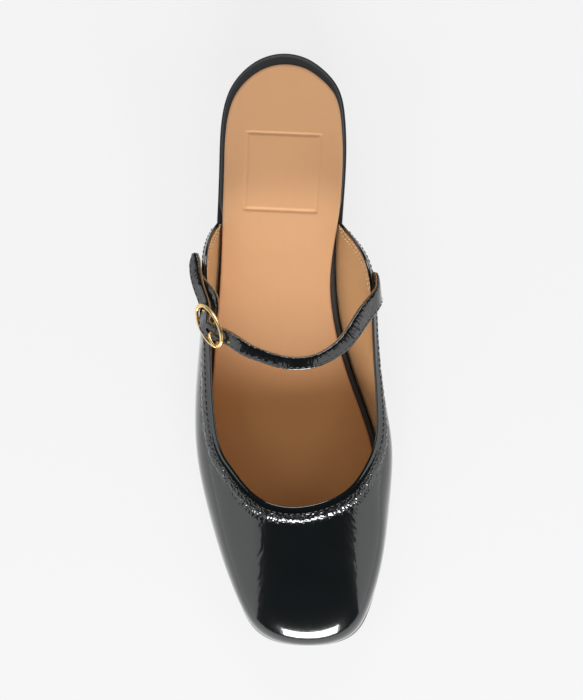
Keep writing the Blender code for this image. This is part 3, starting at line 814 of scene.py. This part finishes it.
band = 1 - ease(from_edge, BAND_WIDTH - BAND_SLOPE, BAND_WIDTH)
seam = 1 - ease(np.abs(from_edge - SEAM_FROM_EDGE), 0, SEAM_WIDTH)
turned = 1 - ease(from_edge, ROLL_HEIGHT, ROLL_IN_FROM)
crinkled = crumple(face, CRINKLE_SIZE)
creased = ease(from_edge, *ROLL_SMOOTH) * (1 - ease(from_edge, *CRINKLE_FADE))
relief = BAND_HEIGHT * band - ROLL_IN * turned - SEAM_DEPTH * seam + CRINKLE_DEPTH_VAMP * crinkled
relief += CRINKLE_DEPTH_BAND * crinkled * creased + crease_height(face)
relief *= np.minimum(1, edge_scale * TIP_RELIEF)[:, None]
face += shell_out[:, :outer_rows] * relief[..., None]
folded = np.zeros(shell.shape[:2])
folded[:, :outer_rows] = creased
wall_piece("patent_upper", shell, folded, patent, "upper")


# Lining
# Tan leather inside the vamp and the wings, from just under the turned-in topline down to the footbed.
# It is pasted to the back of the patent, and two rows of stitches hold it at the end of each wing.

LINING_GAP = 0.04
LINING_DROP = 0.15
LINING_BACK_ROWS = 24
LINING_FACE_ROWS = 40
LINING_TAN = (0.560, 0.310, 0.135, 1.0)
LINING_PALE = (0.620, 0.360, 0.170, 1.0)

lining_leather = grained_finish("tan_lining_leather", LINING_TAN, LINING_PALE, roughness=(0.50, 0.66),
                                grain=0.6, depth=0.03)
lining_back = -SHELL_THICKNESS - LINING_GAP
lining_top = TURNED_IN + LINING_DROP
lining_rows = [(lining_top, share, lining_back) for share in np.linspace(1, 0, LINING_BACK_ROWS)]
lining_rows += [(lining_top, share, -WALL_THICKNESS) for share in np.linspace(0, 1, LINING_FACE_ROWS)]
lining = wall_points(lining_rows)[0]
mesh_piece("upper_lining", lining.reshape(-1, 3), closed_wall(lining), lining_leather)


# Buckle
# An oval frame of round gold-plated brass wire, with a thinner bar soldered across its middle.
# The strap lies over the bar and under both ends of the frame, and the bar sags to make room for it.

BUCKLE_CENTRE = (-33.7, 115.7, 49.4)
BUCKLE_LONG = (4.20, 8.35, 3.27)
BUCKLE_SHORT = (3.48, -1.75, 4.76)
BUCKLE_WIRE = 1.6
BUCKLE_PIECES = 180
BUCKLE_SIDES = 20
BAR_WIRE = 1.2
BAR_SAG = 1.2
BAR_PIECES = 40
GOLD = (0.880, 0.600, 0.235, 1.0)
GOLD_PALE = (0.960, 0.740, 0.390, 1.0)


def circle(count):
    """Angles of points round a circle."""
    return np.linspace(0, 2 * math.pi, count, endpoint=False)


def wire(centres, radii, sides, closed):
    """Points and faces of a round wire along points, closed on itself or with its ends filled."""
    following = np.roll(centres, -1, axis=0) - np.roll(centres, 1, axis=0)
    along = unit(following if closed else np.gradient(centres, axis=0))
    spare = unit(np.cross(centres[1] - centres[0], centres[len(centres) // 3] - centres[0]))
    first = unit(np.cross(along, spare))
    second = np.cross(along, first)
    angles = circle(sides)
    ring = np.cos(angles)[:, None] * first[:, None] + np.sin(angles)[:, None] * second[:, None]
    points = centres[:, None] + ring * np.broadcast_to(radii, len(centres))[:, None, None]
    faces = closed_wall(points)
    if closed:
        last = (len(centres) - 1) * sides
        faces = faces[2:] + [(last + j, last + (j + 1) % sides, (j + 1) % sides, j) for j in range(sides)]
    return points.reshape(-1, 3), faces


gold = clouded_finish("gold_plate", GOLD, GOLD_PALE, cloud=(2.4, 3.0), roughness=(0.22, 0.36),
                      grain=(0.5, 3.0), depth=0.006, metal=1.0)
buckle_centre = to_world(*BUCKLE_CENTRE)
frame_long, frame_short = (np.array([x, -station, z]) for x, station, z in (BUCKLE_LONG, BUCKLE_SHORT))
frame_out = unit(np.cross(frame_long, frame_short))
turns = circle(BUCKLE_PIECES)[:, None]
frame_line = buckle_centre + frame_short * np.cos(turns) + frame_long * np.sin(turns)


def bar_at(shares):
    """Points of the bar's middle line, from -1 at the frame's outer side to 1 at its inner side."""
    return buckle_centre + frame_short * shares - frame_out * BAR_SAG * (1 - shares**2)


frame_points, frame_faces = wire(frame_line, BUCKLE_WIRE / 2, BUCKLE_SIDES, closed=True)
bar_line = bar_at(np.linspace(-1, 1, BAR_PIECES)[:, None])
bar_points, bar_faces = wire(bar_line, BAR_WIRE / 2, BUCKLE_SIDES, closed=False)
frame_faces += [tuple(len(frame_points) + corner for corner in face) for face in bar_faces]
mesh_piece("gold_buckle", np.vstack([frame_points, bar_points]), frame_faces, gold, "buckle_frame")


# Prong
# A bent gold wire, hooked under the bar, with its tip rounded off.
# It passes up through the strap and rests on the frame's toeward end.

PRONG_WIRE = 1.2
PRONG_PIECES = 90
PRONG_SIDES = 16
PRONG_TIP = 0.8
PRONG_BLUNT = 0.02
PRONG_LINE = (
    # share of the frame's long half, height over the frame
    (0.17, -1.0),
    (0.28, 0.3),
    (0.41, 1.8),
    (0.64, 2.5),
    (1.06, 1.9),
)
HOOK_SPACE = 0.05
HOOK_ENDS = (190.0, 330.0)
HOOK_ROWS = 7

long_half = np.linalg.norm(frame_long)
hook_radius = (BAR_WIRE + PRONG_WIRE) / 2 + HOOK_SPACE
hook_turns = np.radians(np.linspace(*HOOK_ENDS, HOOK_ROWS))
hook_circle = np.column_stack([np.cos(hook_turns) / long_half, np.sin(hook_turns)]) * hook_radius
prong_rows = np.vstack([hook_circle - (0.0, BAR_SAG), PRONG_LINE])
prong_knots = distances(prong_rows * (long_half, 1.0))
prong_places = np.linspace(0, prong_knots[-1], PRONG_PIECES)
prong_line = spline(prong_knots, prong_rows)(prong_places)
prong_centres = buckle_centre + frame_long * prong_line[:, :1] + frame_out * prong_line[:, 1:]
in_tip = np.clip(1 - (prong_knots[-1] - prong_places) / PRONG_TIP, 0, 1)
prong_radii = PRONG_WIRE / 2 * np.sqrt(np.clip(1 - in_tip**2, PRONG_BLUNT, 1))
prong_points, prong_faces = wire(prong_centres, prong_radii, PRONG_SIDES, closed=False)
mesh_piece("gold_prong", prong_points, prong_faces, gold, "buckle_prong")


# Buckle tab
# A short strip of the same patent, lined with tan leather and sewn to the outside of the outer wing.
# It holds the buckle: its end is folded round the bar on both sides of the prong.

TAB_THICKNESS = 1.2
TAB_PIECES = 120
TAB_CROWN = 0.10
STRAP_SIDES = 44
STRAP_EDGE_ROUND = 0.4
STRAP_FACE_ROUND = 0.6
STRAP_FACE_FROM = 0.8
STRAP_SLOPE_STEPS = 2000
STRAP_LINING_THICKNESS = 0.4
STRAP_LINING_PROUD = 0.35
STRAP_CRINKLE = 0.8
STRAP_CRINKLE_SIZE = 1.8
STRAP_CRINKLE_DEPTH = 0.05
SEAT_CLEARANCE = 0.5
TAB_ROOT = (
    # foot on the sole's edge, share up the wing, width, tilt
    (0.386, 0.78, 4.2, 46.0),
    (0.393, 0.86, 5.2, 46.0),
    (0.401, 0.93, 5.4, 44.0),
    (0.410, 1.00, 5.4, 42.0),
)
TAB_ROUTE = (
    # x, station, z, width, swing of its width inwards from the shoe's length, tilt of its width above level
    (-34.9, 100.4, 45.0, 5.4, 52.0, 44.0),
    (-32.3, 104.0, 46.2, 5.4, 60.0, 48.0),
    (-31.5, 107.8, 47.0, 5.4, 64.0, 50.0),
    (-32.0, 114.0, 49.3, 5.0, 63.0, 50.0),
)
FOLD_THICKNESS = 0.5
FOLD_PIECES = 30
FOLD_SIDES = 24
FOLD_TURNS = (185.0, 350.0)
FOLDS = (
    # name, ends as shares of the bar
    ("tab_fold_outer", (-0.56, -0.16)),
    ("tab_fold_inner", (0.16, 0.64)),
)


def route(root, free, thickness, side=1):
    """Rows of centre, way of the width, and width: up the outside of a wing, then free through the air.

    side is 1 where the width points heelwards or inwards, and -1 where it points the other way.
    """
    seat = BAND_HEIGHT + SEAT_CLEARANCE + thickness / 2
    rows = []
    for edge, up, width, tilt in root:
        run = run_at(edge)
        along, out = (way[0] for way in upper_frame(np.array([run]), np.array([up])))
        heelward = along * np.sign(along[1])
        climbing = np.cross(out, heelward)
        climbing *= np.sign(climbing[2])
        across = heelward * math.cos(math.radians(tilt)) + climbing * math.sin(math.radians(tilt))
        rows.append(np.concatenate([upper_point(run, up) + out * seat, across * side, [width]]))
    for x, station, z, width, swing, tilt in free:
        swing, tilt = math.radians(swing), math.radians(tilt)
        level = math.cos(tilt)
        across = np.array([math.sin(swing) * level, math.cos(swing) * level, math.sin(tilt)])
        rows.append(np.concatenate([to_world(x, station, z), across * side, [width]]))
    rows = np.array(rows)
    knots = distances(rows[:, :3])
    return knots, spline(knots, rows[:, :6]), steady(knots, rows[:, 6])


def ribbon_frames(path, places):
    """Centre, way along, way across, way out and width of a strap at places along it."""
    knots, line, widths = path
    length = knots[-1]
    step = length / STRAP_SLOPE_STEPS
    centres = line(places)[:, :3]
    ahead = line(np.minimum(places + step, length))[:, :3]
    behind = line(np.maximum(places - step, 0))[:, :3]
    along = unit(ahead - behind)
    guides = line(places)[:, 3:6]
    across = unit(guides - along * np.sum(guides * along, axis=1, keepdims=True))
    return centres, along, across, np.cross(across, along), widths(places)


def bulged(values, power):
    """Values from -1 to 1 pushed outwards, which makes a round section squarer."""
    return np.sign(values) * np.abs(values) ** power


def ribbon(name, path, pieces, low, high, finish, node=None, crown=0.0, proud=0.0, crinkle=0.0,
           cutter=None):
    """A strap along a route, between two heights over its middle, with round edges and a crowned face.

    proud widens it on one edge, the rear one where it is above 0, and crinkle is how deep its wrinkles are.
    """
    centres, _, across, out, widths = ribbon_frames(path, np.linspace(0, path[0][-1], pieces))
    angles = circle(STRAP_SIDES)
    wide = bulged(np.cos(angles), STRAP_EDGE_ROUND)
    tall = bulged(np.sin(angles), STRAP_FACE_ROUND)
    face = ease(tall, 0, STRAP_FACE_FROM)
    side = wide * widths[:, None] / 2 + proud * (1 + np.sign(proud) * wide) / 2
    height = (low + high) / 2 + tall * (high - low) / 2 + face * crown * (1 - wide**2)
    points = centres[:, None] + across[:, None] * side[..., None] + out[:, None] * height[:, None]
    if crinkle:
        wrinkle = crumple(points, STRAP_CRINKLE_SIZE) * face * crinkle
        points = points + out[:, None] * wrinkle[..., None]
    wall_piece(name, points, STRAP_CRINKLE, finish, node, cutter)


tab_path = route(TAB_ROOT, TAB_ROUTE, TAB_THICKNESS, side=-1)
tab_split = STRAP_LINING_THICKNESS - TAB_THICKNESS / 2
ribbon("patent_tab", tab_path, TAB_PIECES, tab_split, TAB_THICKNESS / 2, patent, "buckle_tab",
       crown=TAB_CROWN, crinkle=STRAP_CRINKLE_DEPTH)
ribbon("tab_lining", tab_path, TAB_PIECES, -TAB_THICKNESS / 2, tab_split, lining_leather,
       proud=-STRAP_LINING_PROUD)
fold_middle = BAR_WIRE / 2 + HOOK_SPACE + FOLD_THICKNESS / 2
fold_section = circle(FOLD_SIDES)
fold_thick = bulged(np.cos(fold_section), STRAP_FACE_ROUND) * FOLD_THICKNESS / 2
fold_wide = bulged(np.sin(fold_section), STRAP_EDGE_ROUND)
fold_rays = [unit(frame_long) * math.cos(turn) + frame_out * math.sin(turn)
             for turn in np.radians(np.linspace(*FOLD_TURNS, FOLD_PIECES))]
for fold_name, (fold_start, fold_end) in FOLDS:
    fold_shares = (fold_start + fold_end) / 2 + fold_wide * (fold_end - fold_start) / 2
    fold = bar_at(fold_shares[:, None]) + np.array(fold_rays)[:, None] * (fold_middle + fold_thick)[:, None]
    wall_piece(fold_name, fold, STRAP_CRINKLE, patent)


# Strap
# A narrow instep strap: patent folded over a core, with its tan lining left a hair proud of the rear edge.
# It is sewn to the outside of the inner wing, crosses the foot and runs through the buckle to its free end.

STRAP_THICKNESS = 1.6
STRAP_CROWN = 0.15
STRAP_PIECES = 420
STRAP_ROOT = (
    # foot on the sole's edge, share up the wing, width, tilt
    (1.604, 0.72, 6.0, 48.0),
    (1.598, 0.79, 8.4, 48.0),
    (1.587, 0.89, 9.0, 46.0),
    (1.575, 1.00, 8.6, 44.0),
)
STRAP_ROUTE = (
    # x, station, z, width, swing, tilt
    (33.4, 108.2, 47.2, 8.2, -62.0, 46.0),
    (28.4, 115.4, 52.0, 7.6, -60.0, 40.0),
    (23.5, 122.3, 56.4, 6.4, -54.0, 30.0),
    (18.0, 126.9, 59.6, 5.6, -34.0, 16.0),
    (11.8, 130.0, 61.9, 5.2, -16.0, 7.0),
    (4.3, 131.3, 63.0, 5.2, -2.0, 2.0),
    (-3.2, 130.7, 62.2, 5.2, 10.0, 0.0),
    (-10.7, 128.5, 60.0, 5.2, 18.0, 1.0),
    (-18.4, 125.4, 56.6, 5.6, 22.0, 8.0),
    (-28.2, 119.8, 51.6, 6.2, 2.0, 22.0),
    (-32.8, 118.2, 50.4, 6.6, 10.0, 30.0),
    (-35.6, 115.6, 49.2, 7.2, 34.0, 40.0),
    (-35.9, 111.6, 46.9, 6.0, 58.0, 46.0),
    (-36.0, 107.2, 44.8, 5.8, 72.0, 48.0),
    (-38.0, 100.8, 44.6, 5.9, 82.0, 47.0),
    (-39.6, 94.8, 43.3, 6.0, 88.0, 46.0),
    (-40.2, 89.6, 41.5, 5.6, 90.0, 45.0),
    (-40.2, 85.4, 40.1, 2.4, 90.0, 44.0),
)

# The slot that the prong passes through: its ends as shares of the frame's long half, width and depth
SLOT_ENDS = (0.08, 0.46)
SLOT_WIDTH = 2.0
SLOT_DEPTH = 7.0
SLOT_SIDES = 24

slot_long = frame_long * (SLOT_ENDS[1] - SLOT_ENDS[0]) / 2
slot_side = unit(np.cross(frame_out, frame_long)) * SLOT_WIDTH / 2
slot_centre = buckle_centre + frame_long * (SLOT_ENDS[0] + SLOT_ENDS[1]) / 2
slot_axes = np.column_stack([slot_long, slot_side, frame_out * SLOT_DEPTH, slot_centre]) * MM
slot_matrix = mathutils.Matrix(np.vstack([slot_axes, (0.0, 0.0, 0.0, 1.0)]).tolist())
slot_mesh = bpy.data.meshes.new("prong_slot")
work = bmesh.new()
bmesh.ops.create_cone(work, cap_ends=True, segments=SLOT_SIDES, radius1=1, radius2=1, depth=1,
                      matrix=slot_matrix)
work.to_mesh(slot_mesh)
work.free()
slot_cutter = added("prong_slot", slot_mesh)
strap_path = route(STRAP_ROOT, STRAP_ROUTE, STRAP_THICKNESS)
strap_split = STRAP_LINING_THICKNESS - STRAP_THICKNESS / 2
ribbon("patent_strap", strap_path, STRAP_PIECES, strap_split, STRAP_THICKNESS / 2, patent, "strap",
       crown=STRAP_CROWN, crinkle=STRAP_CRINKLE_DEPTH, cutter=slot_cutter)
ribbon("strap_lining", strap_path, STRAP_PIECES, -STRAP_THICKNESS / 2, strap_split, lining_leather,
       proud=STRAP_LINING_PROUD, cutter=slot_cutter)
bpy.data.objects.remove(slot_cutter)


# Stitches
# Lockstitch in bonded thread: black along the folded topline and the front edge of the strap.
# Two rows of pale thread show on the lining, along the rear edge of each wing.

THREAD_BLACK = (0.012, 0.012, 0.013, 1.0)
THREAD_BLACK_WORN = (0.030, 0.030, 0.032, 1.0)
THREAD_PALE = (0.900, 0.740, 0.520, 1.0)
THREAD_PALE_WORN = (0.800, 0.600, 0.380, 1.0)
STITCH_LENGTH = 1.9
STITCH_SPACING = 2.5
STITCH_THICKNESS = 0.5
STITCH_LIFT = 0.05
BEAD_SEGMENTS = 8
BEAD_RINGS = 6
BEAD_RADIUS = 0.5
LINING_STITCH_LENGTH = 1.3
LINING_STITCH_SPACING = 2.0
LINING_STITCH_LIFT = 0.15
LINING_ROWS = (3.4, 6.6)
LINING_ROW_END = 100.0
STRAP_SEAM_INSET = 1.0
STRAP_SEAM_ENDS = 8

# Shares of the full wall height at which the seams stop towards the low tips of the wings
TOPLINE_SEAM_STOP = 0.8
LINING_SEAM_STOP = 0.5


def stitch_tree():
    """Node tree that lays stitches along lines: each is a small bead, stretched along the seam."""
    tree = bpy.data.node_groups.new("stitch_row", "GeometryNodeTree")
    for name, way, kind in (
        ("Seam", "INPUT", "NodeSocketGeometry"),
        ("Length", "INPUT", "NodeSocketFloat"),
        ("Spacing", "INPUT", "NodeSocketFloat"),
        ("Thickness", "INPUT", "NodeSocketFloat"),
        ("Thread", "INPUT", "NodeSocketMaterial"),
        ("Stitches", "OUTPUT", "NodeSocketGeometry"),
    ):
        tree.interface.new_socket(name, in_out=way, socket_type=kind)
    given = tree.nodes.new("NodeGroupInput").outputs
    line = add_node(tree, "GeometryNodeMeshToCurve", {"Mesh": given["Seam"]}).outputs["Curve"]
    spaced = {"Curve": line, "Length": given["Spacing"]}
    points = add_node(tree, "GeometryNodeCurveToPoints", spaced, mode="LENGTH").outputs
    turn = add_node(tree, "FunctionNodeAlignRotationToVector", {"Vector": points["Tangent"]}, axis="Z")
    round_bead = {"Segments": BEAD_SEGMENTS, "Rings": BEAD_RINGS, "Radius": BEAD_RADIUS}
    bead = add_node(tree, "GeometryNodeMeshUVSphere", round_bead).outputs["Mesh"]
    sizes = {"X": given["Thickness"], "Y": given["Thickness"], "Z": given["Length"]}
    size = add_node(tree, "ShaderNodeCombineXYZ", sizes).outputs["Vector"]
    stitch = add_node(tree, "GeometryNodeTransform", {"Geometry": bead, "Scale": size})
    laid = add_node(tree, "GeometryNodeInstanceOnPoints", {
        "Points": points["Points"],
        "Instance": stitch.outputs["Geometry"],
        "Rotation": turn.outputs["Rotation"],
    }).outputs["Instances"]
    for kind in ("RealizeInstances", "SetShadeSmooth", "SetMaterial"):
        step = add_node(tree, "GeometryNode" + kind, {"Geometry": laid})
        laid = step.outputs["Geometry"]
    fill(tree, step, {"Material": given["Thread"]})
    add_node(tree, "NodeGroupOutput", {"Stitches": laid})
    return tree


stitch_row = stitch_tree()
stitch_sockets = {item.name: item.identifier for item in stitch_row.interface.items_tree}


def sew(name, seams, thread, length, spacing):
    """One piece with the stitches of all its seams, which are lists of points in millimetres."""
    ends = np.cumsum([len(seam) for seam in seams])
    edges = [(i - 1, i) for i in range(1, ends[-1]) if i not in ends]
    line = bpy.data.meshes.new(name + "_line")
    line.from_pydata((np.vstack(seams) * MM).tolist(), edges, [])
    guide = added(name + "_line", line)
    laying = guide.modifiers.new("stitches", "NODES")
    laying.node_group = stitch_row
    laying[stitch_sockets["Length"]] = length * MM
    laying[stitch_sockets["Spacing"]] = spacing * MM
    laying[stitch_sockets["Thickness"]] = STITCH_THICKNESS * MM
    laying[stitch_sockets["Thread"]] = thread
    made = added(name, plain_mesh(guide))
    bpy.data.objects.remove(guide)
    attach(made, "root")


thread_look = {"cloud": (0.5, 2.0), "roughness": (0.34, 0.52), "grain": (0.5, 2.0), "depth": 0.05}
black_thread = clouded_finish("black_thread", THREAD_BLACK, THREAD_BLACK_WORN, **thread_look)
pale_thread = clouded_finish("pale_thread", THREAD_PALE, THREAD_PALE_WORN, **thread_look)
seam_height = BAND_HEIGHT - SEAM_DEPTH + STITCH_LIFT
topline_seam = wall_points([(SEAM_FROM_EDGE, 0.0, seam_height)])[0][:, 0]
topline_seam = topline_seam[edge_scale > TOPLINE_SEAM_STOP]
sew("topline_stitches", [topline_seam], black_thread, STITCH_LENGTH, STITCH_SPACING)

lining_seams = []
for row in LINING_ROWS:
    seam_line = wall_points([(row, 0.0, -WALL_THICKNESS - LINING_STITCH_LIFT)])[0][:, 0]
    stations = LENGTH / 2 - seam_line[:, 1]
    behind = (stations < LINING_ROW_END) & (edge_scale > row / BAND_WIDTH * LINING_SEAM_STOP)
    lining_seams += [seam_line[behind & (seam_line[:, 0] < 0)], seam_line[behind & (seam_line[:, 0] > 0)]]
sew("lining_stitches", lining_seams, pale_thread, LINING_STITCH_LENGTH, LINING_STITCH_SPACING)

strap_places = np.linspace(0, strap_path[0][-1], STRAP_PIECES)[STRAP_SEAM_ENDS:-STRAP_SEAM_ENDS]
centres, _, across, out, widths = ribbon_frames(strap_path, strap_places)
front = centres - across * (widths / 2 - STRAP_SEAM_INSET)[:, None]
front = front + out * (STRAP_THICKNESS / 2 + STITCH_LIFT)
sew("strap_stitches", [front], black_thread, STITCH_LENGTH, STITCH_SPACING)


# Floor
# A plain pale sheet that the shoe stands on, with no grain of its own.

FLOOR_HALF = 4.0
FLOOR_WHITE = (0.10, 0.10, 0.10, 1.0)
FLOOR_GLOW = (0.80, 0.80, 0.80, 1.0)

floor_mesh = bpy.data.meshes.new("floor")
corners = [(-FLOOR_HALF, -FLOOR_HALF, 0), (FLOOR_HALF, -FLOOR_HALF, 0),
           (FLOOR_HALF, FLOOR_HALF, 0), (-FLOOR_HALF, FLOOR_HALF, 0)]
floor_mesh.from_pydata(corners, [], [(0, 1, 2, 3)])
floor_paint, floor_tree, floor_shader = new_finish("pale_floor")
fill(floor_tree, floor_shader, {
    "Base Color": FLOOR_WHITE,
    "Roughness": 0.9,
    "Specular IOR Level": 0.0,
    "Emission Color": FLOOR_GLOW,
    "Emission Strength": 1.0,
})
floor_mesh.materials.append(floor_paint)
floor = added("floor", floor_mesh)


# Light
# Two tall soft banks, upright on both sides, put grey bands on the patent and leave its middle black.
# A low bright one past the toe makes the spark there, and lights the sock where the vamp leaves it open.
# A weak one past the heel lights what faces backwards.

LIGHTS = (
    # name, place, aim, width, height, power; metres and watts
    ("outer_bank", (-0.90, -0.54, 1.15), (0.0, -0.54, 1.15), 1.10, 2.30, 8.6),
    ("inner_bank", (0.90, -0.37, 1.05), (0.0, -0.37, 1.05), 0.84, 2.10, 6.4),
    ("toe_bank", (0.09, -1.30, 0.47), (0.0, 0.0, 0.02), 0.95, 0.47, 38.0),
    ("heel_bank", (0.0, 1.30, 0.90), (0.0, 0.05, 0.02), 0.90, 0.50, 11.0),
)
SKY = (0.034, 0.037, 0.040, 1.0)


def aimed(place, aim, up):
    """Rotation of a lamp or camera at a place that looks at a point, with its top towards a direction."""
    back = (mathutils.Vector(place) - mathutils.Vector(aim)).normalized()
    right = mathutils.Vector(up).cross(back).normalized()
    return mathutils.Matrix((right, back.cross(right), back)).transposed().to_euler()


for name, where, aim, width, height, power in LIGHTS:
    lamp = bpy.data.lights.new(name, "AREA")
    lamp.shape = "RECTANGLE"
    lamp.size = width
    lamp.size_y = height
    lamp.energy = power
    fixture = added(name, lamp)
    fixture.location = where
    fixture.rotation_euler = aimed(where, aim, (0, 0, 1))
world = bpy.data.worlds.new("studio")
world.use_nodes = True
world.node_tree.nodes["Background"].inputs["Color"].default_value = SKY
bpy.context.scene.world = world
bpy.context.scene.view_settings.view_transform = "Standard"


# Camera
# Straight above, with the heel at the top of the picture and a long lens.
# It stands a little to the inner side, where the picture's own middle was.

CAMERA_PLACE = (0.0511, 0.008, 1.75)
CAMERA_AIM = (-0.0009, 0.0, 0.0)
VIEW_HEIGHT = 0.300
SENSOR_HEIGHT = 24.0

lens = bpy.data.cameras.new("camera")
lens.sensor_fit = "VERTICAL"
lens.sensor_height = SENSOR_HEIGHT
lens.lens = SENSOR_HEIGHT * (CAMERA_PLACE[2] - CAMERA_AIM[2]) / VIEW_HEIGHT
camera = added("camera", lens)
camera.location = CAMERA_PLACE
camera.rotation_euler = aimed(CAMERA_PLACE, CAMERA_AIM, (0, 1, 0))
bpy.context.scene.camera = camera
